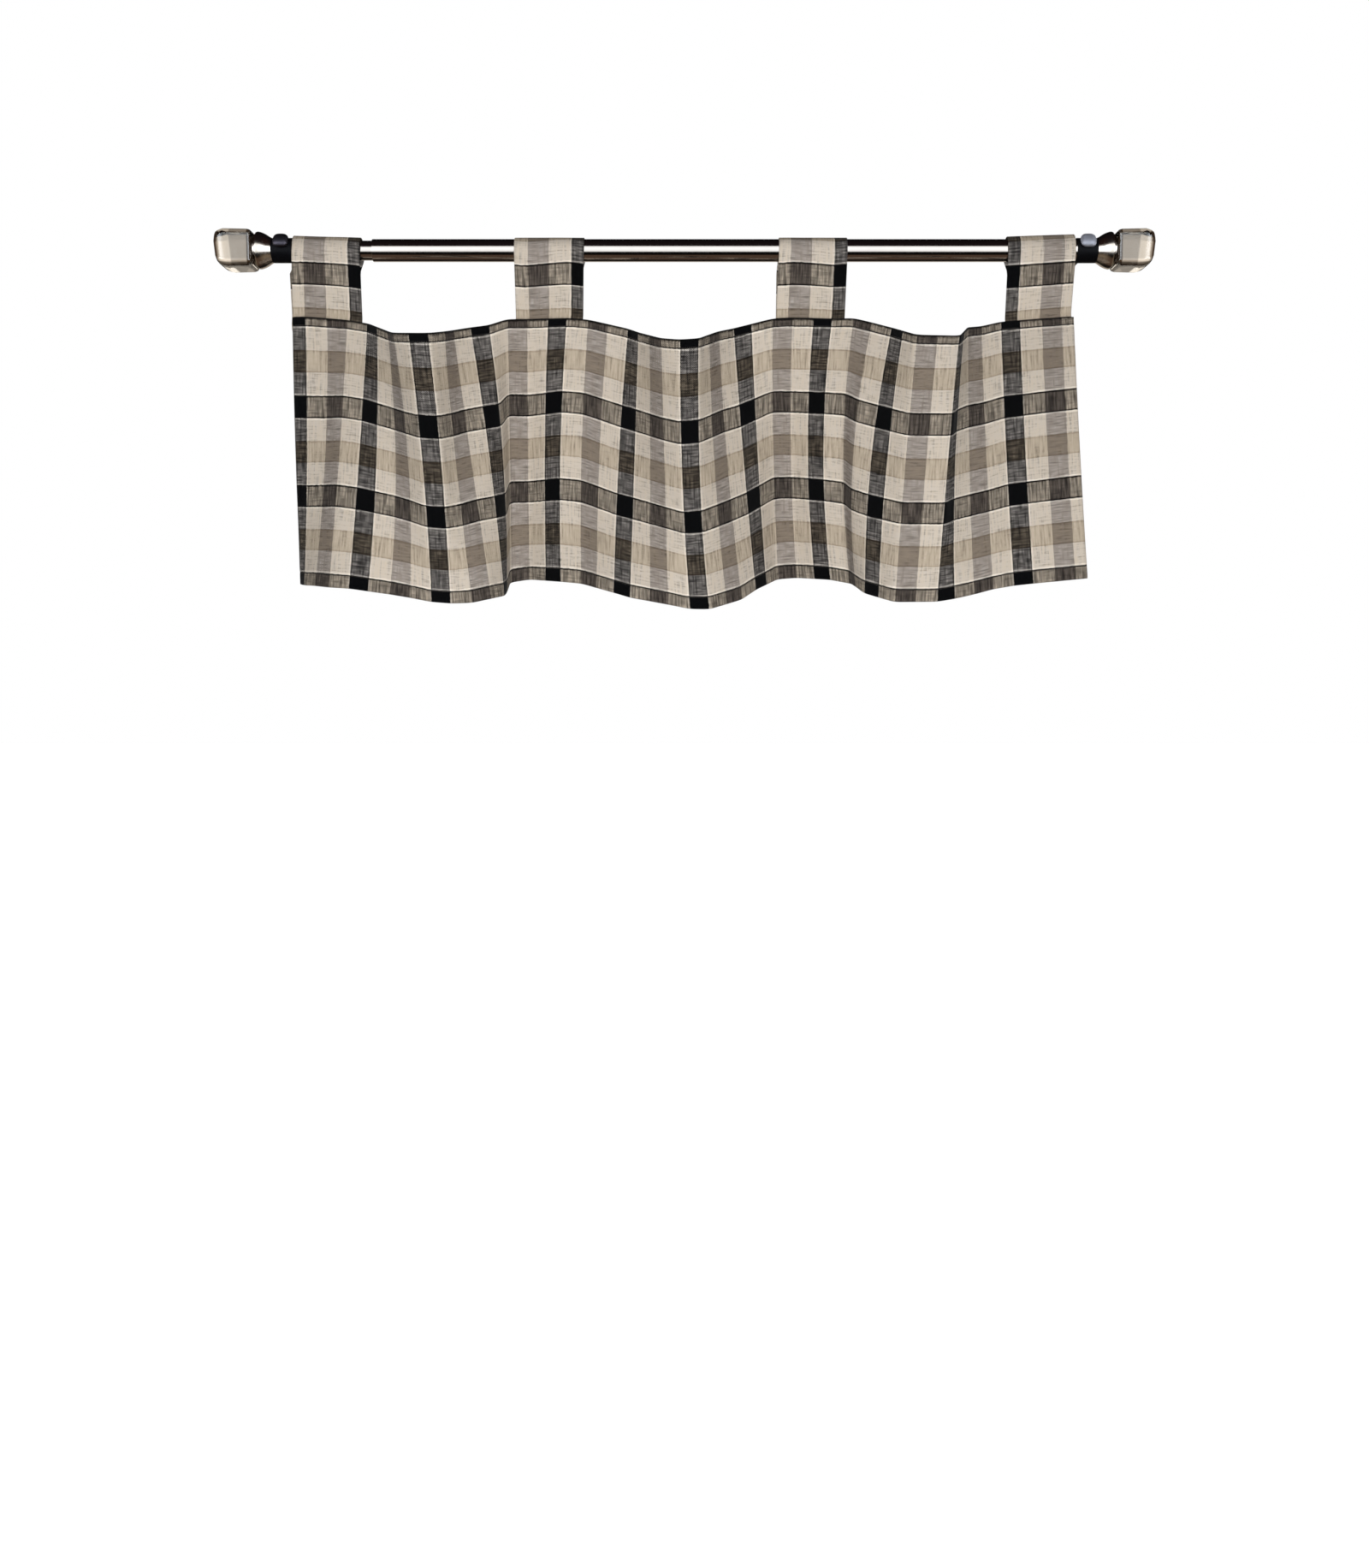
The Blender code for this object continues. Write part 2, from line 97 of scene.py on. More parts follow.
# How the panel hangs: one row for each strip of cloth between two creases, from the left side hem to
# the right one. "top", "middle" and "hem" are headings in degrees: 0 runs along the rod, + comes towards
# the room. "sag" and "hem_sag" are how far below the rod the top edge and the hem hang at the strip's
# right end, and "rise" is how far the middle of the drop hangs above the straight line between the two.
# Widths, sags and rises are in millimetres.
HANG_COLUMNS = ("width", "top", "middle", "hem", "sag", "hem_sag", "rise")
HANG_ROWS = (
    (17, 0, 15, 60, 80, 428, -2),
    (29.5, 0, 20, 50, 82, 430, -1),
    (27, 0, 35, 35, 84, 433, 0),
    (29.5, 5, 10, 15, 89, 435, -1),
    (55.5, 48, 10, -10, 108, 442, -1),
    (27, 65, 40, -15, 115, 446, -3),
    (29.5, 35, 40, 0, 119, 452, -7),
    (26, 10, 0, 10, 120, 454, -7),
    (29.5, -50, -60, 0, 113, 453, -4),
    (27, -75, -45, -25, 106, 447, -2),
    (29.5, -45, -35, -60, 98, 442, -2),
    (26, -20, -55, -90, 93, 437, -1),
    (29.5, -30, -80, -85, 82, 421, 5),
    (27, -10, -15, 5, 81, 417, 3),
    (55.5, 10, 30, 35, 82, 422, 7),
    (29.5, -15, 0, 15, 82, 425, 6),
    (56.5, -5, 20, 35, 93, 439, -2),
    (26, 55, 25, 25, 102, 446, -1),
    (56.5, 55, 40, 20, 119, 456, -4),
    (29.5, 30, 35, 10, 124, 462, -7),
    (26, -15, -25, -15, 121, 462, -5),
    (56.5, -60, -45, -35, 102, 448, -2),
    (29.5, -45, -35, -45, 94, 434, -3),
    (55.5, 5, -40, -55, 82, 417, 8),
    (27, 10, -15, 0, 82, 415, 8),
    (55.5, -10, 40, 40, 81, 420, 2),
    (29.5, 15, 20, 30, 82, 426, 1),
    (27, 25, 70, 80, 90, 432, -4),
    (29.5, 20, 35, 70, 99, 442, -4),
    (55.5, 60, 40, 50, 118, 455, -3),
    (56.5, 0, 5, -10, 119, 454, -4),
    (26, -70, -60, -15, 109, 450, -3),
    (29.5, -70, -35, -15, 98, 444, -4),
    (27, -35, -20, -15, 93, 437, -4),
    (29.5, -10, -10, -10, 86, 432, -1),
    (98.5, 0, 0, -5, 79, 422, 2),
)
LEFT_SAG = 80 * MM
LEFT_HEM_SAG = 426 * MM
LEFT_RISE = -2 * MM

# Where the two side hems hang, and how far in front of the rod's axis the left one is.
LEVEL_COLUMNS = ("heading", "left_x", "right_x", "left_out")
LEVELS = (
    ("top", -515 * MM, 512 * MM, -22 * MM),
    ("middle", -518 * MM, 516 * MM, -38 * MM),
    ("hem", -518 * MM, 527 * MM, -51 * MM),
)

# The tabs: centre on the rod and width, then for the left and the right edge "lean", how far the foot is
# to the left of the top, and "lift", how far the loop stands above a snug fit. "warp" is the plaid's
# place across the cloth, in millimetres, at the tab's left edge, and "tube" is the one that carries it.
TAB_COLUMNS = (
    "name", "centre_x", "width", "lean_left", "lean_right", "lift_left", "lift_right", "warp", "tube",
)
TABS = (
    ("tab_1", -462 * MM, 86 * MM, 12 * MM, 6 * MM, 2.5 * MM, 0 * MM, 32, "inner"),
    ("tab_2", -174.5 * MM, 89 * MM, 3.5 * MM, 4.5 * MM, 0 * MM, 0 * MM, 29.5, "outer"),
    ("tab_3", 166 * MM, 87 * MM, 1.5 * MM, -1.5 * MM, 0 * MM, 0 * MM, 32, "outer"),
    ("tab_4", 460.5 * MM, 86 * MM, -6 * MM, -6 * MM, 1.5 * MM, 4.5 * MM, 113.5, "outer"),
)
# The plaid's place down the cloth, in millimetres, where a tab's front is level with the rod's axis
TAB_WEFT_AT_ROD = 82.5

# How far down from the panel's top edge the painted shade along it reaches
TOP_SHADE_REACH = 3 * MM

# The panel's fine grid: its pitch, its closer places beside each seam, in millimetres, and how far the
# even ones keep from a seam
PANEL_PITCH = 4.4 * MM
BESIDE_SEAM = (-2.2, -0.9, 0.0, 0.9, 2.2)
CLEAR_OF_SEAM = 2.6 * MM
# A tab's fine grid: its columns, its stations up each layer and round the loop, and how many of them,
# from the front foot on, it takes to rise past the rod's axis
TAB_GRID_COLUMNS = 30
LAYER_STATIONS = 15
LOOP_STATIONS = 25
RISING_STATIONS = 20
# How far the edge of a cloth bulges past its grid, as a share of its thickness
EDGE_ROUNDING = 0.45

# Unevenness of the cloth: soft ripples, and puckers and a groove along each sewn line
RIPPLE = 1.3 * MM
FINE_RIPPLE = 0.45 * MM
TAB_RIPPLE = 0.25 * MM
PUCKERS = ((HEM_LINE, 0.5 * MM), (HEADING_LINE, 0.3 * MM))
PUCKER_REACH = 5 * MM
GROOVE_DEPTH = 0.35 * MM
GROOVE_REACH = 1 * MM

STITCH_PITCH = 3 * MM
STITCH_GAP = 0.9 * MM
STITCH_RISE = 0.22 * MM
THREAD_RADIUS = 0.28 * MM

# Stage and camera
FLOOR_Z = -1.55
CAMERA_AT = (0, -2.101, -0.550)
CAMERA_TILT = 85.9
CAMERA_LENS = 34.64


def rows_as_dicts(columns, rows):
    return [dict(zip(columns, row)) for row in rows]


def smooth(values, reach, step):
    """Average over a window of +-reach with a cosine weight."""
    cells = round(reach / step)
    weights = 1 + np.cos(np.pi * np.arange(-cells, cells + 1) / (cells + 1))
    padded = np.pad(values, cells, mode="edge")
    return np.convolve(padded, weights / weights.sum(), mode="valid")


class Hang:
    """The surface that the panel's middle layer follows, read by cloth position."""

    STEP = 1 * MM

    def __init__(self):
        self.rows = rows_as_dicts(HANG_COLUMNS, HANG_ROWS)
        self.ends = np.cumsum([row["width"] * MM for row in self.rows])
        self.at = np.arange(round(PANEL_WIDTH / self.STEP) + 1) * self.STEP
        self.sag = self.soft_profile("sag", LEFT_SAG)
        self.hem_sag = self.soft_profile("hem_sag", LEFT_HEM_SAG)
        self.rise = self.soft_profile("rise", LEFT_RISE)
        self.lines = [self.level_line(level) for level in rows_as_dicts(LEVEL_COLUMNS, LEVELS)]

    def soft_profile(self, column, first):
        values = [first] + [row[column] * MM for row in self.rows]
        return smooth(np.interp(self.at, np.append(0.0, self.ends), values), SOFT_SAG, self.STEP)

    def level_line(self, level):
        """(x, out) along one height, from the left side hem and stretched to end at the right one."""
        strip = np.minimum(np.searchsorted(self.ends, self.at, side="right"), len(self.rows) - 1)
        headings = np.radians([row[level["heading"]] for row in self.rows])[strip]
        along = smooth(np.cos(headings), SOFT_CREASE, self.STEP)
        outward = smooth(np.sin(headings), SOFT_CREASE, self.STEP)
        run = self.STEP * np.sqrt(1 - (np.diff(self.sag) / self.STEP) ** 2)
        x = np.append(0.0, np.cumsum(run * (along[1:] + along[:-1]) / 2))
        out = np.append(0.0, np.cumsum(run * (outward[1:] + outward[:-1]) / 2)) + level["left_out"]
        x = level["left_x"] + x * (level["right_x"] - level["left_x"]) / x[-1]
        return x, out

    def points(self, u, v):
        """The hanging places of the cloth at u from its left side and v below its top edge."""
        u, v = np.broadcast_arrays(np.asarray(u, float), np.asarray(v, float))
        t = v / PANEL_DROP
        weights = (2 * (t - 0.5) * (t - 1), 4 * t * (1 - t), 2 * t * (t - 0.5))
        x = sum(w * np.interp(u, self.at, line[0]) for w, line in zip(weights, self.lines))
        out = sum(w * np.interp(u, self.at, line[1]) for w, line in zip(weights, self.lines))
        sag = np.interp(u, self.at, self.sag) * (1 - t) + np.interp(u, self.at, self.hem_sag) * t
        sag -= weights[1] * np.interp(u, self.at, self.rise)
        return np.stack([x, ROD_Y - out, -sag], axis=-1)

    def u_at_top(self, x):
        """The cloth position whose top edge hangs at this x."""
        return np.interp(x, self.lines[0][0], self.at)


def normals_of(grid):
    """Unit normals of a grid of points, facing the room where the grid runs right and down."""
    across = np.gradient(grid, axis=0)
    down = np.gradient(grid, axis=1)
    normal = np.cross(down, across)
    return normal / np.linalg.norm(normal, axis=-1, keepdims=True)


def rim_of(columns, rows):
    """Grid places round a sheet: its top, its right side, its bottom and its left side, in turn."""
    top = [(i, 0) for i in range(columns)]
    right = [(columns - 1, j) for j in range(1, rows)]
    bottom = [(i, rows - 1) for i in range(columns - 2, -1, -1)]
    left = [(0, j) for j in range(rows - 2, 0, -1)]
    return np.array(top + right + bottom + left)


def rounded_edge(grid, rim, thickness):
    """A point past each place of the rim, which rounds the edge of the cloth there."""
    columns, rows = grid.shape[:2]
    at_rim = grid[rim[:, 0], rim[:, 1]]
    inner = np.clip(rim, 1, [columns - 2, rows - 2])
    outward = at_rim - grid[inner[:, 0], inner[:, 1]]
    outward /= np.linalg.norm(outward, axis=1, keepdims=True)
    return at_rim + outward * thickness[rim[:, 0], rim[:, 1], None] * EDGE_ROUNDING


def sheet_faces(columns, rows, rim):
    """Faces over the points of the front, the back and the rounded edge, numbered in that order."""
    size = columns * rows
    index = np.arange(size).reshape(columns, rows)
    corners = (index[:-1, :-1], index[:-1, 1:], index[1:, 1:], index[1:, :-1])
    quads = np.stack(corners, axis=-1).reshape(-1, 4)
    ring = index[rim[:, 0], rim[:, 1]]
    ring_next = np.roll(ring, -1)
    edge = 2 * size + np.arange(len(rim))
    edge_next = np.roll(edge, -1)
    front_edge = np.stack([ring, ring_next, edge_next, edge], axis=-1)
    back_edge = np.stack([edge, edge_next, ring_next + size, ring + size], axis=-1)
    return np.concatenate([quads, quads[:, ::-1] + size, front_edge, back_edge])


def closed_sheet(name, grid, thickness, cloth_place):
    """One closed mesh from a grid of middle points: two faces joined by a rounded edge.

    cloth_place holds each point's place on the flat cloth in millimetres and how strongly painted shade
    darkens it along the panel's top edge, and becomes the attribute "cloth".
    """
    columns, rows = grid.shape[:2]
    normal = normals_of(grid)
    half = thickness[..., None] / 2
    rim = rim_of(columns, rows)
    sides = [(grid + normal * half).reshape(-1, 3), (grid - normal * half).reshape(-1, 3)]
    points = np.concatenate([*sides, rounded_edge(grid, rim, thickness)])
    flat = cloth_place.reshape(-1, 3)
    flat = np.concatenate([flat, flat, cloth_place[rim[:, 0], rim[:, 1]]])

    mesh = bpy.data.meshes.new(name)
    mesh.from_pydata(points.tolist(), [], sheet_faces(columns, rows, rim).tolist())
    cloth = mesh.attributes.new("cloth", "FLOAT_VECTOR", "POINT")
    cloth.data.foreach_set("vector", flat.astype(np.float32).ravel())
    mesh.shade_smooth()
    bm = bmesh.new()
    bm.from_mesh(mesh)
    bmesh.ops.recalc_face_normals(bm, faces=bm.faces)
    bm.to_mesh(mesh)
    bm.free()
    return add_piece(name, mesh)


def add_piece(name, data):
    piece = bpy.data.objects.new(name, data)
    bpy.context.scene.collection.objects.link(piece)
    return piece


def spaced(length, *lines):
    """Grid places from 0 to length, evenly spaced, with closer ones beside each of the lines."""
    places = list(np.linspace(0.0, length, round(length / PANEL_PITCH) + 1))
    for line in lines:
        places = [p for p in places if abs(p - line) > CLEAR_OF_SEAM]
        places += [line + k * MM for k in BESIDE_SEAM]
    return np.array(sorted(places))


def wrinkle(u, v):
    """Small unevenness of the hanging cloth, in metres: soft ripples, and puckers at the sewn lines."""
    ripples = noise.noise(Vector((u * 16, v * 4, 3.1))) * RIPPLE
    ripples += noise.noise(Vector((u * 45, v * 14, 7.7))) * FINE_RIPPLE
    puckers = 0.0
    for line, depth in PUCKERS:
        near = math.exp(-(((v - line) / PUCKER_REACH) ** 2))
        beat = noise.noise(Vector((u * 110, line * 10, 1.5)))
        groove = math.exp(-(((v - line) / GROOVE_REACH) ** 2))
        puckers += near * depth * beat - groove * GROOVE_DEPTH
    return ripples + puckers


def build_panel(hang, surface):
    u = spaced(PANEL_WIDTH, SIDE_HEM)
    v = spaced(PANEL_DROP, TOP_SHADE_REACH, HEADING_LINE, HEM_LINE)
    grid_u, grid_v = np.meshgrid(u, v, indexing="ij")
    grid = hang.points(grid_u, grid_v)
    bumps = np.array([[wrinkle(a, b) for b in v] for a in u])
    grid = grid + normals_of(grid) * bumps[..., None]
    doubled = (grid_v > HEM_LINE) | (grid_v < HEADING_LINE)
    doubled |= (grid_u < SIDE_HEM) | (grid_u > PANEL_WIDTH - SIDE_HEM)
    thickness = np.where(doubled, HEM_CLOTH, CLOTH)
    # Painted shade: the cloth darkens towards the panel's top edge, fully at the edge and not at all 3
    # mm down
    top_edge_shade = np.clip(1 - grid_v / TOP_SHADE_REACH, 0.0, 1.0)
    cloth = np.stack([grid_u / MM, grid_v / MM, top_edge_shade], axis=-1)
    panel = closed_sheet("panel_cloth", grid, thickness, cloth)
    panel.data.materials.append(surface)
    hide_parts("valance_panel")
    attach(panel, "root")
    return panel


def tab_stations(loop_radius, lift, feet_out, foot_z):
    """Stations (out, z) round the loop, from the front layer's bend over the rod to the back one's."""
    front_out, back_out = feet_out
    bend_z = foot_z + TAB_BEND
    leaves_rod = math.atan2(bend_z, front_out) + math.acos(loop_radius / math.hypot(front_out, bend_z))
    angles = np.linspace(leaves_rod, math.pi, LOOP_STATIONS)
    loop_z = loop_radius * np.sin(angles) + lift * np.maximum(np.sin(angles), 0.0)
    loop = np.column_stack([loop_radius * np.cos(angles), loop_z])
    shares = np.linspace(0.0, 1.0, LAYER_STATIONS, endpoint=False)[:, None]
    front_bend = np.array([front_out, bend_z])
    back_bend = np.array([back_out, bend_z])
    front = front_bend + (loop[0] - front_bend) * shares
    back = back_bend + (loop[-1] - back_bend) * shares
    return np.concatenate([front, loop, back[::-1]])


def tab_line(tab, hang, across):
    """The stations of one tab's cloth at this share of its width, from front foot to back foot."""
    loop_radius = OUTER_TUBE_OD / 2 + TAB_SLACK + TAB_SOLID / 2
    front_gap = PANEL_SOLID / 2 + TAB_GAP + TAB_SOLID / 2
    back_gap = front_gap + TAB_GAP + TAB_SOLID
    lift = tab["lift_left"] + (tab["lift_right"] - tab["lift_left"]) * across
    lean = tab["lean_left"] + (tab["lean_right"] - tab["lean_left"]) * across
    top_x = tab["centre_x"] + (across - 0.5) * tab["width"]
    foot_x = top_x - lean
    sewn = hang.points(hang.u_at_top(foot_x), np.array([0.0, TAB_SEAM / 2, TAB_SEAM]))
    sewn[:, 0] += foot_x - sewn[0, 0]
    seam, half_way, foot = sewn
    seam_out = ROD_Y - seam[1]
    stations = tab_stations(loop_radius, lift, (seam_out - front_gap, seam_out - back_gap), seam[2])
    highest = stations[:, 1].argmax()
    share = np.clip(stations[:, 1] / seam[2], 0.0, 1.0)
    share[highest:] = np.clip(-stations[highest:, 1] / loop_radius - 0.5, 0.0, 1.0)
    x = top_x + (foot_x - top_x) * share
    loop = np.column_stack([x, ROD_Y - stations[:, 0], stations[:, 1]])
    front_feet = np.array([foot, half_way]) + (0, front_gap, 0)
    back_feet = np.array([half_way, foot]) + (0, back_gap, 0)
    return np.concatenate([front_feet, loop, back_feet])


def build_tab(tab, hang, surface):
    shares = np.linspace(0.0, 1.0, TAB_GRID_COLUMNS + 1)
    grid = np.array([tab_line(tab, hang, share) for share in shares])
    steps = np.linalg.norm(np.diff(grid, axis=1), axis=2)
    along = np.concatenate([np.zeros((len(shares), 1)), np.cumsum(steps, axis=1)], axis=1)
    rising = [(line[:RISING_STATIONS, 2], run[:RISING_STATIONS]) for line, run in zip(grid, along)]
    along_at_rod = np.mean([np.interp(0.0, z, run) for z, run in rising])
    weft = TAB_WEFT_AT_ROD + (along_at_rod - along) / MM
    warp = tab["warp"] + shares * tab["width"] / MM
    cloth = np.stack([np.broadcast_to(warp[:, None], weft.shape), weft, np.zeros(weft.shape)], axis=-1)
    bumps = np.array([[noise.noise(Vector(point) * 28) for point in row] for row in grid])
    grid = grid + normals_of(grid) * bumps[..., None] * TAB_RIPPLE
    made = closed_sheet(f"{tab['name']}_cloth", grid, np.full(grid.shape[:2], TAB_CLOTH), cloth)
    made.data.materials.append(surface)
    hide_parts(tab["name"])
    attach(made, "root")
    return made


# Materials


class Nodes:
    """Short calls for building the node tree of a material or a world."""

    def __init__(self, owner):
        owner.use_nodes = True
        self.owner = owner
        self.tree = owner.node_tree
        self.shader = self.tree.nodes.get("Principled BSDF")

    def add(self, kind, **settings):
        node = self.tree.nodes.new(kind)
        for key, value in settings.items():
            setattr(node, key, value)
        return node

    def set(self, socket, value):
        """Link an output, or store a plain value."""
        if isinstance(value, bpy.types.NodeSocket):
            self.tree.links.new(value, socket)
        else:
            socket.default_value = value

    def math(self, operation, a, b=None, c=None, clamp=False):
        node = self.add("ShaderNodeMath", operation=operation, use_clamp=clamp)
        for socket, value in zip(node.inputs, (a, b, c)):
            if value is not None:
                self.set(socket, value)
        return node.outputs[0]

    def scaled(self, vector, factors):
        node = self.add("ShaderNodeVectorMath", operation="MULTIPLY")
        self.set(node.inputs[0], vector)
        node.inputs[1].default_value = factors
        return node.outputs[0]

    def mix(self, factor, a, b, blend_type="MIX"):
        node = self.add("ShaderNodeMix", data_type="RGBA", blend_type=blend_type)
        self.set(node.inputs["Factor"], factor)
        self.set(node.inputs["A"], a)
        self.set(node.inputs["B"], b)
        return node.outputs["Result"]

    def noise(self, vector, scale, detail=2.0, roughness=0.5):
        node = self.add("ShaderNodeTexNoise")
        self.set(node.inputs["Vector"], vector)
        node.inputs["Scale"].default_value = scale
        node.inputs["Detail"].default_value = detail
        node.inputs["Roughness"].default_value = roughness
        return node.outputs["Fac"]

    def ramp(self, factor, stops, interpolation="LINEAR"):
        """Colour ramp through (position, red, green, blue, alpha) stops."""
        node = self.add("ShaderNodeValToRGB")
        node.color_ramp.interpolation = interpolation
        elements = node.color_ramp.elements
        elements.remove(elements[1])
        for k, (position, *color) in enumerate(stops):
            element = elements[0] if k == 0 else elements.new(position)
            element.position = position
            element.color = color
        self.set(node.inputs["Fac"], factor)
        return node.outputs["Color"], node.outputs["Alpha"]

    def bump(self, height, distance, strength=1.0):
        node = self.add("ShaderNodeBump")
        self.set(node.inputs["Height"], height)
        node.inputs["Distance"].default_value = distance
        node.inputs["Strength"].default_value = strength
        self.set(self.shader.inputs["Normal"], node.outputs["Normal"])


def new_material(name):
    return Nodes(bpy.data.materials.new(name))


# Yarn colours, as display values from 0 to 1; the material turns a mix of two into light.
WARP_CREAM = (0.790, 0.737, 0.663)
WARP_GRAY = (0.448, 0.411, 0.380)
WARP_BRIGHT = (0.90, 0.85, 0.78)
WEFT_CREAM = (0.770, 0.742, 0.715)
WEFT_BRIGHT = (0.98, 0.95, 0.91)
WEFT_TAN = (0.577, 0.524, 0.455)
WEFT_DARK_TAN = (0.43, 0.38, 0.32)
BLACK = (0.030, 0.030, 0.036)

# Stripes of one repeat: width in millimetres, colour, and how much of the face those yarns cover.
# Close-set black yarns edge each black band, and a loose cream yarn lies beside it.
EDGE = 2.1
WARP_STRIPES = (
    (EDGE, WARP_BRIGHT, 0.50),
    (CREAM_STRIPE - EDGE, WARP_CREAM, 0.50),
    (GRAY_STRIPE, WARP_GRAY, 0.50),
    (CREAM_STRIPE - EDGE, WARP_CREAM, 0.50),
    (EDGE, WARP_BRIGHT, 0.50),
    (EDGE, BLACK, 0.60),
    (BLACK_STRIPE - 2 * EDGE, BLACK, 0.50),
    (EDGE, BLACK, 0.60),
)
WEFT_STRIPES = (
    (EDGE, WEFT_BRIGHT, 0.55),
    (CREAM_STRIPE - EDGE, WEFT_CREAM, 0.41),
    (EDGE, WEFT_DARK_TAN, 0.41),
    (TAN_BAND - 2 * EDGE, WEFT_TAN, 0.41),
    (EDGE, WEFT_DARK_TAN, 0.41),
    (CREAM_STRIPE - EDGE, WEFT_CREAM, 0.41),
    (EDGE, WEFT_BRIGHT, 0.55),
    (EDGE, BLACK, 0.85),
    (BLACK_BAND - 2 * EDGE, BLACK, 0.40),
    (EDGE, BLACK, 0.85),
)
# Where the first whole cream stripe and band start on the cloth, in millimetres
FIRST_WARP_CREAM = 17.0
FIRST_WEFT_CREAM = 11.0


def striped_yarns(nodes, place, stripes):
    """Colour and cover of one set of yarns, read at place in millimetres."""
    repeat = sum(width for width, _, _ in stripes)
    share = nodes.math("DIVIDE", nodes.math("FLOORED_MODULO", place, repeat), repeat)
    stops = []
    start = 0.0
    for width, color, cover in stripes:
        stops.append((start / repeat, *color, cover))
        start += width
    return nodes.ramp(share, stops, "CONSTANT")


def weave_height(nodes, u, v, slubs):
    """Rounded yarns crossing, thicker where there is a slub."""
    turns = [nodes.math("MULTIPLY", place, math.pi / YARN_PITCH) for place in (u, v)]
    rounded = [nodes.math("ABSOLUTE", nodes.math("SINE", turn)) for turn in turns]
    return nodes.math("MULTIPLY_ADD", slubs, 1.5, nodes.math("ADD", *rounded))


def weft_share(nodes, u, v, covers, slubs):
    """How much of the face is weft, where yarns cross one over one and are thicker at their slubs."""
    warp_cover, weft_cover = covers
    warp_slubs, weft_slubs = slubs
    crossings = [nodes.math("FLOOR", nodes.math("DIVIDE", place, YARN_PITCH)) for place in (u, v)]
    weft_on_top = nodes.math("FLOORED_MODULO", nodes.math("ADD", *crossings), 2.0)
    share = nodes.math("SUBTRACT", nodes.math("ADD", weft_cover, 0.5), warp_cover)
    share = nodes.math("ADD", share, nodes.math("MULTIPLY_ADD", weft_on_top, 0.24, -0.12))
    share = nodes.math("ADD", share, nodes.math("MULTIPLY_ADD", weft_slubs, 0.9, -0.45))
    return nodes.math("ADD", share, nodes.math("MULTIPLY_ADD", warp_slubs, -1.1, 0.55), clamp=True)


def plaid_cloth():
    """Plain-woven slubby cotton: warp stripes across u and weft bands down v, mixed yarn over yarn."""
    nodes = new_material("plaid_cotton")
    cloth = nodes.add("ShaderNodeAttribute", attribute_name="cloth").outputs["Vector"]
    split = nodes.add("ShaderNodeSeparateXYZ")
    nodes.set(split.inputs[0], cloth)
    u, v = split.outputs[0], split.outputs[1]
    wander = nodes.math("MULTIPLY_ADD", nodes.noise(cloth, 0.25, 2.0), 1.6, -0.8)
    warp_place = nodes.math("ADD", nodes.math("SUBTRACT", u, FIRST_WARP_CREAM), wander)
    weft_place = nodes.math("ADD", nodes.math("SUBTRACT", v, FIRST_WEFT_CREAM), wander)
    warp, warp_cover = striped_yarns(nodes, warp_place, WARP_STRIPES)
    weft, weft_cover = striped_yarns(nodes, weft_place, WEFT_STRIPES)

    weft_slubs = nodes.noise(nodes.scaled(cloth, (0.05, 0.48, 1.0)), 1.0, 3.0, 0.6)
    warp_slubs = nodes.noise(nodes.scaled(cloth, (0.42, 0.03, 1.0)), 1.0, 3.0, 0.6)
    share = weft_share(nodes, u, v, (warp_cover, weft_cover), (warp_slubs, weft_slubs))
    shade = nodes.math("MULTIPLY_ADD", nodes.math("ADD", weft_slubs, warp_slubs), 0.90, 0.12)
    # Painted shade: darken the cloth by the third part of "cloth", which is highest at the panel's top
    # edge
    shade = nodes.math("SUBTRACT", shade, nodes.math("MULTIPLY", split.outputs[2], 0.9), clamp=True)
    mixed = nodes.add("ShaderNodeVectorMath", operation="SCALE")
    nodes.set(mixed.inputs[0], nodes.mix(share, warp, weft))
    nodes.set(mixed.inputs["Scale"], shade)
    light = nodes.add("ShaderNodeGamma")
    nodes.set(light.inputs["Color"], mixed.outputs[0])
    light.inputs["Gamma"].default_value = 2.2
    nodes.set(nodes.shader.inputs["Base Color"], light.outputs[0])
    nodes.bump(weave_height(nodes, u, v, weft_slubs), 0.12 * MM, 0.5)
    nodes.shader.inputs["Roughness"].default_value = 0.95
    nodes.shader.inputs["Specular IOR Level"].default_value = 0.08
    nodes.shader.inputs["Sheen Weight"].default_value = 0.03
    nodes.shader.inputs["Sheen Roughness"].default_value = 0.5
    return nodes.owner


def brushed_metal(name, color, roughness, streaks):
    """Polished metal with faint drawing marks along X and small changes of sheen."""
    nodes = new_material(name)
    coords = nodes.add("ShaderNodeTexCoord").outputs["Object"]
    marks = nodes.noise(nodes.scaled(coords, (6.0, 900.0, 900.0)), 1.0, 3.0)
    patches = nodes.noise(coords, 35.0, 3.0)
    rough = nodes.math("MULTIPLY_ADD", marks, streaks, roughness - streaks / 2)
    rough = nodes.math("ADD", rough, nodes.math("MULTIPLY_ADD", patches, 0.06, -0.03))
    nodes.set(nodes.shader.inputs["Roughness"], rough)
    darker = tuple(0.86 * c for c in color)
    nodes.set(nodes.shader.inputs["Base Color"], nodes.mix(patches, (*color, 1.0), (*darker, 1.0)))
    nodes.shader.inputs["Metallic"].default_value = 1.0
    nodes.bump(marks, 0.01 * MM, 0.3)
    return nodes.owner


def enamel(name, color, roughness):
    """Painted metal with a fine orange-peel surface."""
    nodes = new_material(name)
    coords = nodes.add("ShaderNodeTexCoord").outputs["Object"]
    patches = nodes.noise(coords, 60.0, 3.0)
    lighter = tuple(1.5 * c + 0.002 for c in color)
    nodes.set(nodes.shader.inputs["Base Color"], nodes.mix(patches, (*color, 1.0), (*lighter, 1.0)))
    rough = nodes.math("MULTIPLY_ADD", patches, 0.15, roughness - 0.07)
    nodes.set(nodes.shader.inputs["Roughness"], rough)
    nodes.shader.inputs["Specular IOR Level"].default_value = 0.05
    nodes.bump(nodes.noise(coords, 1400.0, 2.0), 0.03 * MM, 0.4)
    return nodes.owner


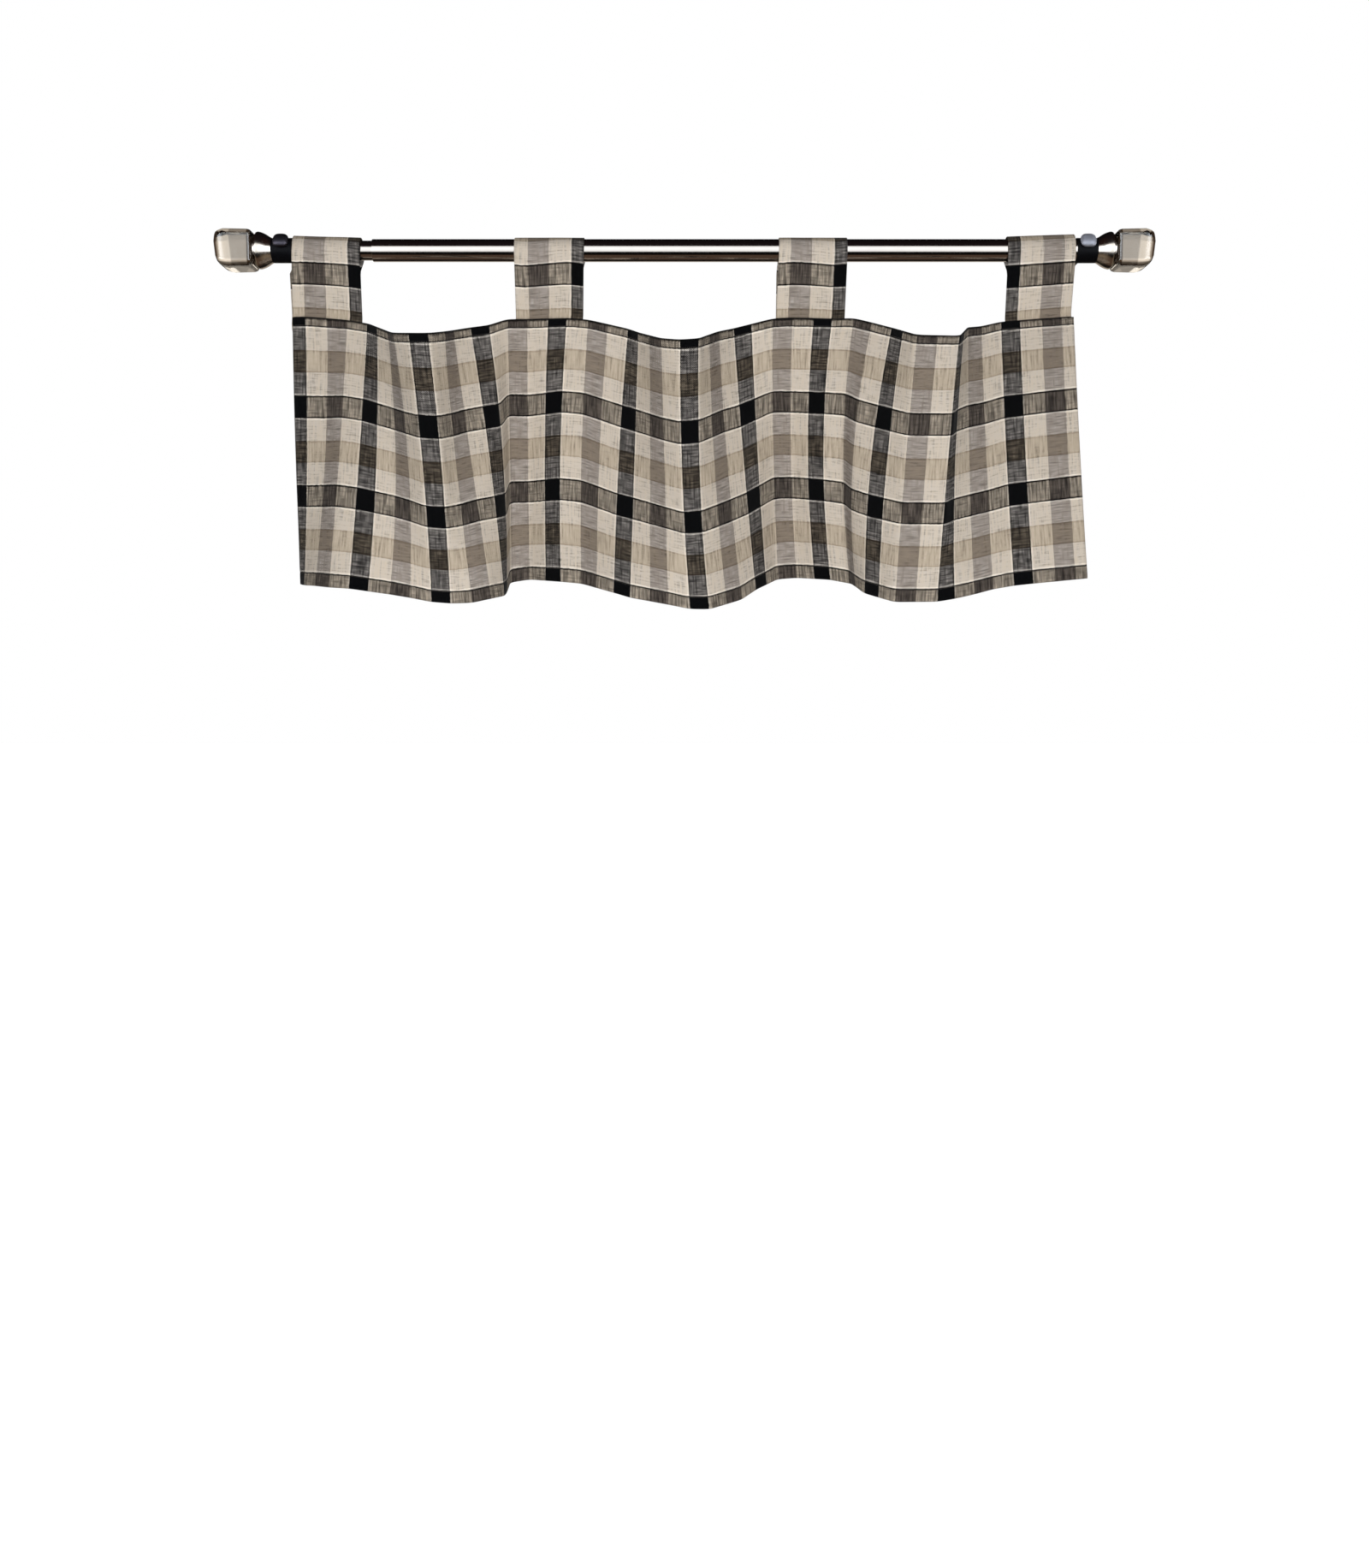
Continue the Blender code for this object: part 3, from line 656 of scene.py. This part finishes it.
def clear_crystal():
    """Clear cast acrylic, faintly warm, with a little haze."""
    nodes = new_material("clear_crystal")
    coords = nodes.add("ShaderNodeTexCoord").outputs["Object"]
    haze = nodes.noise(coords, 70.0, 2.0)
    nodes.set(nodes.shader.inputs["Roughness"], nodes.math("MULTIPLY", haze, 0.06))
    nodes.shader.inputs["Base Color"].default_value = (0.93, 0.90, 0.86, 1.0)
    nodes.shader.inputs["Transmission Weight"].default_value = 1.0
    nodes.shader.inputs["IOR"].default_value = 1.49
    return nodes.owner


def sewing_thread():
    nodes = new_material("dark_thread")
    coords = nodes.add("ShaderNodeTexCoord").outputs["Object"]
    fuzz = nodes.noise(coords, 3000.0, 2.0)
    color = nodes.mix(fuzz, (0.02, 0.018, 0.017, 1), (0.09, 0.08, 0.07, 1))
    nodes.set(nodes.shader.inputs["Base Color"], color)
    nodes.shader.inputs["Roughness"].default_value = 0.8
    nodes.bump(fuzz, 0.02 * MM, 0.5)
    return nodes.owner


def pale_floor():
    """White sheet that brightens with distance, so that no hard horizon shows."""
    nodes = new_material("pale_floor")
    coords = nodes.add("ShaderNodeTexCoord").outputs["Object"]
    faint = nodes.noise(coords, 3.0, 2.0)
    color = nodes.mix(faint, (0.88, 0.88, 0.875, 1), (0.9, 0.9, 0.9, 1))
    nodes.set(nodes.shader.inputs["Base Color"], color)
    reach = nodes.add("ShaderNodeVectorMath", operation="LENGTH")
    nodes.set(reach.inputs[0], coords)
    glow = nodes.math("MULTIPLY_ADD", reach.outputs["Value"], 0.04, 0.72)
    nodes.set(nodes.shader.inputs["Emission Strength"], nodes.math("MINIMUM", glow, 1.0))
    nodes.shader.inputs["Emission Color"].default_value = (1, 1, 1, 1)
    nodes.shader.inputs["Roughness"].default_value = 0.9
    return nodes.owner


# Shapes of the rod set


def turned_mesh(name, outline, surface, segments=96, closed=False):
    """Turn (radius, height) pairs, given from the top down the outer side, round the Z axis."""
    angles = [2 * math.pi * k / segments for k in range(segments)]
    bm = bmesh.new()
    rings = []
    for radius, height in outline:
        spokes = angles if radius > 0 else (0.0,)
        places = [(radius * math.cos(a), radius * math.sin(a), height) for a in spokes]
        rings.append([bm.verts.new(place) for place in places])
    pairs = list(zip(rings, rings[1:]))
    if closed:
        pairs.append((rings[-1], rings[0]))
    for upper, lower in pairs:
        for k in range(segments):
            steps = ((upper, k), (lower, k), (lower, k + 1), (upper, k + 1))
            corners = [ring[step % len(ring)] for ring, step in steps]
            bm.faces.new(list(dict.fromkeys(corners)))
    return finish_mesh(bm, name, surface)


def finish_mesh(bm, name, surface, smooth_angle=40):
    bmesh.ops.recalc_face_normals(bm, faces=bm.faces)
    mesh = bpy.data.meshes.new(name)
    bm.to_mesh(mesh)
    bm.free()
    mesh.shade_smooth()
    mesh.set_sharp_from_angle(angle=math.radians(smooth_angle))
    mesh.materials.append(surface)
    return mesh


def arc(centre, radius, start, end, cells=6):
    """Points (radius, height) on a quarter or less of a circle, with angles in degrees."""
    angles = [math.radians(start + (end - start) * k / cells) for k in range(cells + 1)]
    return [(centre[0] + radius * math.cos(a), centre[1] + radius * math.sin(a)) for a in angles]


def rounded_ring(inner, outer, low, high, edge):
    """Closed outline of a ring with rounded outer edges, from the top down the outer side."""
    outline = [(inner, high)]
    outline += arc((outer - edge, high - edge), edge, 90, 0)
    outline += arc((outer - edge, low + edge), edge, 0, -90)
    outline.append((inner, low))
    return outline


def place_piece(mesh, matrix, node=None):
    """Add a piece with its place in its mesh, make it ride with the part, and hide the CAD part that it
    replaces.
    """
    mesh.transform(matrix)
    piece = add_piece(mesh.name, mesh)
    if node:
        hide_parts(node)
    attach(piece, "root")
    return piece


def along_rod(x, side=1):
    """A frame at x on the rod's axis whose Z points along it, to the right or, for side -1, the left."""
    return Matrix.Translation((x, ROD_Y, 0)) @ Matrix.Rotation(side * math.pi / 2, 4, "Y")


def build_tube(node, od, wall, metal):
    low, high = (corner.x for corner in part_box(node))
    half = (high - low) / 2
    outline = rounded_ring(od / 2 - wall, od / 2, -half, half, 0.6 * MM)
    mesh = turned_mesh(f"{node}_turned", outline, metal, closed=True)
    place_piece(mesh, along_rod((low + high) / 2), node)


def plate_outline():
    """The wall plate's rounded outline and its two screw holes, as loops of points."""
    half_width, half_height, corner = 8 * MM, 32 * MM, 6 * MM
    hole_radius, hole_height = 2.5 * MM, 22 * MM
    outline = []
    for sx, sy, start in ((1, 1, 0), (-1, 1, 90), (-1, -1, 180), (1, -1, 270)):
        centre = (sx * (half_width - corner), sy * (half_height - corner))
        outline += arc(centre, corner, start, start + 90)
    holes = [arc((0, y), hole_radius, 0, 345, 23) for y in (hole_height, -hole_height)]
    return [outline, *holes]


def plate_mesh(name, paint):
    """The wall plate as a flat curve, thickened and eased at its edges."""
    ease = 0.5 * MM
    curve = bpy.data.curves.new(name, "CURVE")
    curve.dimensions = "2D"
    curve.fill_mode = "BOTH"
    curve.extrude = PLATE_THICKNESS / 2 - ease
    curve.bevel_depth = ease
    curve.bevel_resolution = 2
    curve.offset = -ease
    for loop in plate_outline():
        spline = curve.splines.new("POLY")
        spline.points.add(len(loop) - 1)
        spline.use_cyclic_u = True
        for point, (x, y) in zip(spline.points, loop):
            point.co = (x, y, 0, 1)
    obj = add_piece(name, curve)
    mesh = bpy.data.meshes.new_from_object(obj.evaluated_get(bpy.context.evaluated_depsgraph_get()))
    bpy.data.objects.remove(obj)
    mesh.materials.append(paint)
    return mesh


def arm_outline():
    """The bracket's arm, flared where it runs into the ring and into the wall plate."""
    into_ring = -ROD_Y - RING_OD / 2 + 0.6 * MM
    into_plate = 2.6 * MM
    outline = [(0, into_ring), (7 * MM, into_ring), (5.2 * MM, into_ring - 3 * MM)]
    outline += [(4 * MM, into_ring - 7 * MM), (4 * MM, 9 * MM), (5 * MM, 5 * MM)]
    outline += [(7 * MM, into_plate), (0, into_plate)]
    return outline


def build_bracket(side_name, side, tube_od, paint):
    """Wall plate, arm with flared ends, and ring collar, each its own piece."""
    x = side * BRACKET_X
    ring_inner = tube_od / 2 + GAP
    outline = rounded_ring(ring_inner, RING_OD / 2, -RING_LENGTH / 2, RING_LENGTH / 2, 0.9 * MM)
    ring = turned_mesh(f"bracket_ring_{side_name}", outline, paint, closed=True)
    place_piece(ring, along_rod(x), f"bracket_{side_name}")
    arm = turned_mesh(f"bracket_arm_{side_name}", arm_outline(), paint, segments=48)
    towards_room = Matrix.Translation((x, 0, 0)) @ Matrix.Rotation(math.pi / 2, 4, "X")
    place_piece(arm, towards_room)
    plate = plate_mesh(f"bracket_plate_{side_name}", paint)
    off_wall = Matrix.Translation((0, 0, PLATE_THICKNESS / 2))
    place_piece(plate, towards_room @ off_wall)


# The thumb screw's head and shank, as (share of the head's radius, millimetres above its seat)
SCREW_OUTLINE = (
    (0, 7.0), (0.30, 6.9), (0.55, 6.5), (0.76, 5.6), (0.90, 4.4), (0.98, 3.0), (1.0, 1.8),
    (0.99, 0.7), (0.94, 0), (0.24, 0), (0.24, -2.6), (0, -2.6),
)


def build_set_screw(side_name, side, metal):
    """Domed thumb screw with a rounded square grip, tilted towards the room on top of its ring."""
    seat = RING_OD / 2 + GAP
    outline = [(share * SET_SCREW_RADIUS, seat + height * MM) for share, height in SCREW_OUTLINE]
    mesh = turned_mesh(f"set_screw_head_{side_name}", outline, metal)
    for vertex in mesh.vertices:
        angle = math.atan2(vertex.co.y, vertex.co.x)
        reach = math.hypot(vertex.co.x, vertex.co.y) / SET_SCREW_RADIUS
        pinch = 1 - 0.055 * (1 + math.cos(4 * angle)) * min(reach, 1.0)
        vertex.co.x *= pinch
        vertex.co.y *= pinch
    tilt = Matrix.Rotation(math.radians(90 - SET_SCREW_ANGLE), 4, "X")
    place = Matrix.Translation((side * BRACKET_X, ROD_Y, 0)) @ tilt
    place_piece(mesh, place, f"set_screw_{side_name}")


# The bell collar as (radius, distance from the ring) in millimetres, from its dished to its narrow end
COLLAR_OUTLINE = (
    (0, 20), (8, 20.4), (14, 21.2), (19.0, 22.4), (19.7, 22.4), (20.2, 22), (20.4, 21.2), (20.6, 20.6),
    (21.8, 20), (22.8, 19.2), (23.2, 18), (23.2, 16.6), (22.7, 14.6), (21.9, 12.2), (20.8, 9.6),
    (19.5, 7.2), (18.1, 5), (16.7, 2.8), (15.9, 1.2), (15.3, 0),
)
COLLAR_FLOOR = 18 * MM
CRYSTAL_LENGTH = 53 * MM
CRYSTAL_WIDTH = 48 * MM
CRYSTAL_BASE_WIDTH = 46 * MM
CRYSTAL_END_CUT = 16 * MM
CRYSTAL_SIDE_CUT = 8 * MM
CRYSTAL_BASE_CUT = 6 * MM
CRYSTAL_LEAN = 5 * MM


def build_collar(side_name, side, tube_od, metal):
    bore = tube_od / 2 + GAP
    outline = [(r * MM, h * MM) for r, h in COLLAR_OUTLINE]
    outline += [(bore, 0), (bore, COLLAR_FLOOR), (0, COLLAR_FLOOR)]
    collar = turned_mesh(f"finial_bell_{side_name}", outline, metal)
    place_piece(collar, along_rod(side * COLLAR_X, side), f"finial_collar_{side_name}")


def mark_cuts(bm):
    """Give each edge of the uncut block its share of the widest cut."""
    share = bm.edges.layers.float.new("bevel_weight_edge")
    for edge in bm.edges:
        middle_x = (edge.verts[0].co.x + edge.verts[1].co.x) / 2
        cut = CRYSTAL_SIDE_CUT
        if middle_x > 0.25:
            cut = CRYSTAL_END_CUT
        elif middle_x < -0.25:
            cut = CRYSTAL_BASE_CUT
        edge[share] = cut / CRYSTAL_END_CUT


def build_crystal(side_name, side, crystal):
    """A cushion-shaped block, narrower at the collar, leaning in at its outer end, with soft edges."""
    start_x = COLLAR_X + COLLAR_LENGTH + GAP
    bm = bmesh.new()
    bmesh.ops.create_cube(bm, size=1.0)
    mark_cuts(bm)
    for vertex in bm.verts:
        away = vertex.co.x + 0.5
        width = CRYSTAL_BASE_WIDTH + (CRYSTAL_WIDTH - CRYSTAL_BASE_WIDTH) * away
        length = CRYSTAL_LENGTH - CRYSTAL_LEAN * (0.5 - vertex.co.z)
        x = side * (start_x + away * length)
        vertex.co = (x, ROD_Y + vertex.co.y * width, vertex.co.z * width)
    mesh = finish_mesh(bm, f"finial_cut_{side_name}", crystal, smooth_angle=180)
    piece = place_piece(mesh, Matrix(), f"finial_crystal_{side_name}")
    cuts = piece.modifiers.new("Cut corners", "BEVEL")
    cuts.width = CRYSTAL_END_CUT
    cuts.offset_type = "OFFSET"
    cuts.limit_method = "WEIGHT"
    cuts.segments = 6
    cuts.harden_normals = True


# Stitching


def stitch_mesh(name, starts, ends, lifts, radius):
    """Short rounded stitches, each from a start to an end, bowed out by its lift."""
    points, faces = [], []
    profile = ((0.0, 0.35), (0.2, 0.9), (0.5, 1.0), (0.8, 0.9), (1.0, 0.35))
    sides = 6
    for start, end, lift in zip(starts, ends, lifts):
        forward = (end - start).normalized()
        up = lift.normalized()
        side = forward.cross(up)
        first = len(points)
        for share, width in profile:
            centre = start.lerp(end, share) + lift * math.sin(math.pi * share)
            for k in range(sides):
                angle = 2 * math.pi * k / sides
                points.append(centre + (side * math.cos(angle) + up * math.sin(angle)) * radius * width)
        for ring in range(len(profile) - 1):
            for k in range(sides):
                a = first + ring * sides + k
                b = first + ring * sides + (k + 1) % sides
                faces.append((a, b, b + sides, a + sides))
        faces.append(tuple(first + k for k in reversed(range(sides))))
        last = first + (len(profile) - 1) * sides
        faces.append(tuple(last + k for k in range(sides)))
    mesh = bpy.data.meshes.new(name)
    mesh.from_pydata([tuple(p) for p in points], [], faces)
    mesh.shade_smooth()
    return mesh


def build_stitch_line(name, hang, v, surface):
    """A row of lockstitches along the panel, on its room side, at v below the top edge."""
    places = np.arange(STITCH_PITCH, PANEL_WIDTH - STITCH_PITCH, STITCH_PITCH)
    u = np.stack([places, places + STITCH_PITCH - STITCH_GAP], axis=1)
    at = hang.points(u, np.full_like(u, v))
    below = hang.points(u, np.full_like(u, v + 1 * MM))
    along = at[:, 1] - at[:, 0]
    normal = np.cross(below[:, 0] - at[:, 0], along)
    normal /= np.linalg.norm(normal, axis=1, keepdims=True)
    bumps = np.array([[wrinkle(a, v) for a in pair] for pair in u])
    placed = at + normal[:, None, :] * (bumps + HEM_CLOTH / 2)[..., None]
    starts = [Vector(p) for p in placed[:, 0]]
    ends = [Vector(p) for p in placed[:, 1]]
    lifts = [Vector(n) * STITCH_RISE for n in normal]
    mesh = stitch_mesh(name, starts, ends, lifts, THREAD_RADIUS)
    mesh.materials.append(surface)
    obj = add_piece(name, mesh)
    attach(obj, "root")
    return obj


# Stage, lights and camera


def build_stage():
    """A pale floor well below the hanging cloth, which only the camera sees."""
    bm = bmesh.new()
    bmesh.ops.create_grid(bm, x_segments=8, y_segments=8, size=20)
    floor = add_piece("floor", finish_mesh(bm, "floor", pale_floor()))
    floor.location = (0, 0, FLOOR_Z)
    floor.visible_diffuse = False
    floor.visible_glossy = False
    floor.visible_transmission = False


# What polished surfaces mirror, by the angle in degrees above straight towards the room: a bright window
# in front, brown furnishings below it, a pale wall low behind, darkness round the rest.
MIRRORED = (
    (-180, 0.7, 0.64, 0.55),
    (-158, 0.7, 0.64, 0.55),
    (-150, 0.012, 0.010, 0.009),
    (-125, 0.012, 0.010, 0.009),
    (-108, 0.17, 0.115, 0.085),
    (-62, 0.15, 0.10, 0.07),
    (-56, 0.006, 0.005, 0.005),
    (-29, 0.008, 0.007, 0.007),
    (-21, 2.2, 2.4, 2.5),
    (8, 2.7, 3.0, 3.2),
    (26, 2.3, 2.5, 2.6),
    (34, 0.022, 0.014, 0.016),
    (120, 0.006, 0.005, 0.006),
    (180, 0.010, 0.009, 0.009),
)
# The same for what faces along the rod, as the flared collars do: olive light comes from below
MIRRORED_ASIDE = (
    (-180, 0.010, 0.009, 0.009),
    (-150, 0.30, 0.27, 0.20),
    (-60, 0.36, 0.30, 0.22),
    (-40, 0.03, 0.022, 0.016),
    (-22, 0.008, 0.007, 0.007),
    (-15, 8.0, 8.5, 9.0),
    (20, 8.0, 8.5, 9.0),
    (30, 0.035, 0.016, 0.012),
    (90, 0.03, 0.012, 0.010),
    (180, 0.010, 0.009, 0.009),
)
# What crystal shows, by where its light leaves it: 1 is straight at the wall, -1 straight into the room
SEEN_THROUGH = (
    (-1.0, 0.90, 0.86, 0.80),
    (-0.85, 0.50, 0.46, 0.40),
    (-0.40, 0.05, 0.035, 0.025),
    (0.35, 0.04, 0.028, 0.020),
    (0.70, 0.16, 0.13, 0.10),
    (0.88, 0.44, 0.39, 0.33),
    (1.0, 0.52, 0.46, 0.38),
)

# How much of it shows to the left and the right, by the sideways share of its direction
DARK_ASIDE = ((0.22, 1, 1, 1, 1), (0.36, 0.12, 0.09, 0.07, 1), (1.0, 0.12, 0.09, 0.07, 1))

# How much light from above adds to it, by the upward share of its direction
LIT_FROM_ABOVE = ((0.22, 1, 1, 1, 1), (0.36, 2, 2, 2, 1), (0.50, 2, 2, 2, 1), (0.60, 0.7, 0.7, 0.7, 1))

# Strength of the soft light that falls on cloth from all round
AMBIENT = 0.22


def mirrored_room(nodes, split):
    """What polished surfaces mirror, by the parts of the direction that they mirror it from."""
    towards_room = nodes.math("MULTIPLY", split.outputs["Y"], -1.0)
    angle = nodes.math("ARCTAN2", split.outputs["Z"], towards_room)
    turn = nodes.math("MULTIPLY_ADD", angle, 1 / (2 * math.pi), 0.5)
    ahead, aside = (
        nodes.ramp(turn, [(0.5 + degrees / 360, *color, 1) for degrees, *color in table])[0]
        for table in (MIRRORED, MIRRORED_ASIDE)
    )
    along_x = nodes.math("ABSOLUTE", split.outputs["X"])
    return nodes.mix(nodes.math("MULTIPLY_ADD", along_x, 3.0, -0.9, clamp=True), ahead, aside)


def room_through_crystal(nodes, split):
    """What shows through the crystals, by the parts of the direction in which light leaves them."""
    behind = nodes.math("MULTIPLY_ADD", split.outputs["Y"], 0.5, 0.5)
    stops = [(0.5 + 0.5 * bend, *color, 1) for bend, *color in SEEN_THROUGH]
    seen = nodes.ramp(behind, stops)[0]
    along_x = nodes.math("ABSOLUTE", split.outputs["X"])
    for place, table in ((along_x, DARK_ASIDE), (split.outputs["Z"], LIT_FROM_ABOVE)):
        seen = nodes.mix(1.0, seen, nodes.ramp(place, table)[0], "MULTIPLY")
    return seen


def build_world():
    """White surround for the camera, soft light for cloth, and a dim room for what shines."""
    world = bpy.data.worlds.new("studio")
    bpy.context.scene.world = world
    nodes = Nodes(world)
    nodes.tree.nodes.clear()
    path = nodes.add("ShaderNodeLightPath")
    split = nodes.add("ShaderNodeSeparateXYZ")
    nodes.set(split.inputs[0], nodes.add("ShaderNodeTexCoord").outputs["Generated"])
    result = background(nodes, (1, 1, 1, 1), AMBIENT)
    shades = (
        ("Is Glossy Ray", background(nodes, mirrored_room(nodes, split))),
        ("Is Transmission Ray", background(nodes, room_through_crystal(nodes, split))),
        ("Is Camera Ray", background(nodes, (1, 1, 1, 1))),
    )
    for ray, shade in shades:
        mix = nodes.add("ShaderNodeMixShader")
        nodes.set(mix.inputs["Fac"], path.outputs[ray])
        nodes.set(mix.inputs[1], result)
        nodes.set(mix.inputs[2], shade)
        result = mix.outputs[0]
    nodes.set(nodes.add("ShaderNodeOutputWorld").inputs["Surface"], result)


def background(nodes, color, strength=1.0):
    shade = nodes.add("ShaderNodeBackground")
    nodes.set(shade.inputs["Color"], color)
    shade.inputs["Strength"].default_value = strength
    return shade.outputs[0]


def add_light(name, location, target, size, power):
    """A soft rectangular lamp that lights cloth but isn't mirrored in metal or seen through crystal."""
    data = bpy.data.lights.new(name, "AREA")
    data.shape = "RECTANGLE"
    data.size, data.size_y = size
    data.energy = power
    light = add_piece(name, data)
    light.location = location
    light.rotation_euler = (Vector(target) - Vector(location)).to_track_quat("-Z", "Y").to_euler()
    light.visible_glossy = False
    light.visible_transmission = False


def build_lights():
    add_light("front_light", (0, -2.4, -0.95), (0, -0.1, -0.25), (1.2, 0.9), 56)
    add_light("back_light", (0, 2.6, 0.8), (0, -0.1, -0.25), (1.6, 1.0), 40)


def build_camera():
    data = bpy.data.cameras.new("camera")
    data.lens = CAMERA_LENS
    data.clip_start, data.clip_end = 0.05, 100
    camera = add_piece("camera", data)
    camera.location = CAMERA_AT
    camera.rotation_euler = (math.radians(CAMERA_TILT), 0, 0)
    bpy.context.scene.camera = camera


def build_cloth():
    hang = Hang()
    plaid = plaid_cloth()
    sewing = sewing_thread()
    panel = build_panel(hang, plaid)
    rows = [build_stitch_line("hem_stitches", hang, HEM_LINE, sewing)]
    rows.append(build_stitch_line("heading_stitches", hang, HEADING_LINE, sewing))
    for tab in rows_as_dicts(TAB_COLUMNS, TABS):
        made = build_tab(tab, hang, plaid)


def build_rod_set():
    metal = brushed_metal("polished_dark_metal", (0.42, 0.37, 0.34), 0.14, 0.06)
    bronze = brushed_metal("polished_bronze", (0.46, 0.40, 0.35), 0.20, 0.08)
    # The two thumb screws are one metal: the left one gets a darker colour as painted shade and the
    # right one a paler colour as painted light, for how light falls on each
    screw_metals = {
        "left": brushed_metal("shaded_screw_metal", (0.05, 0.045, 0.055), 0.5, 0.1),
        "right": brushed_metal("lit_screw_metal", (0.30, 0.30, 0.335), 0.7, 0.1),
    }
    black = enamel("black_enamel", (0.001, 0.001, 0.0015), 0.5)
    crystal = clear_crystal()
    build_tube("rod_outer_tube", OUTER_TUBE_OD, OUTER_TUBE_WALL, metal)
    build_tube("rod_inner_tube", INNER_TUBE_OD, INNER_TUBE_WALL, metal)
    for side_name, side, tube_od in (("left", -1, INNER_TUBE_OD), ("right", 1, OUTER_TUBE_OD)):
        build_bracket(side_name, side, tube_od, black)
        build_set_screw(side_name, side, screw_metals[side_name])
        build_collar(side_name, side, tube_od, bronze)
        build_crystal(side_name, side, crystal)


def main():
    bpy.context.scene.view_settings.view_transform = "Standard"
    build_cloth()
    build_rod_set()
    build_stage()
    build_world()
    build_lights()
    build_camera()


main()
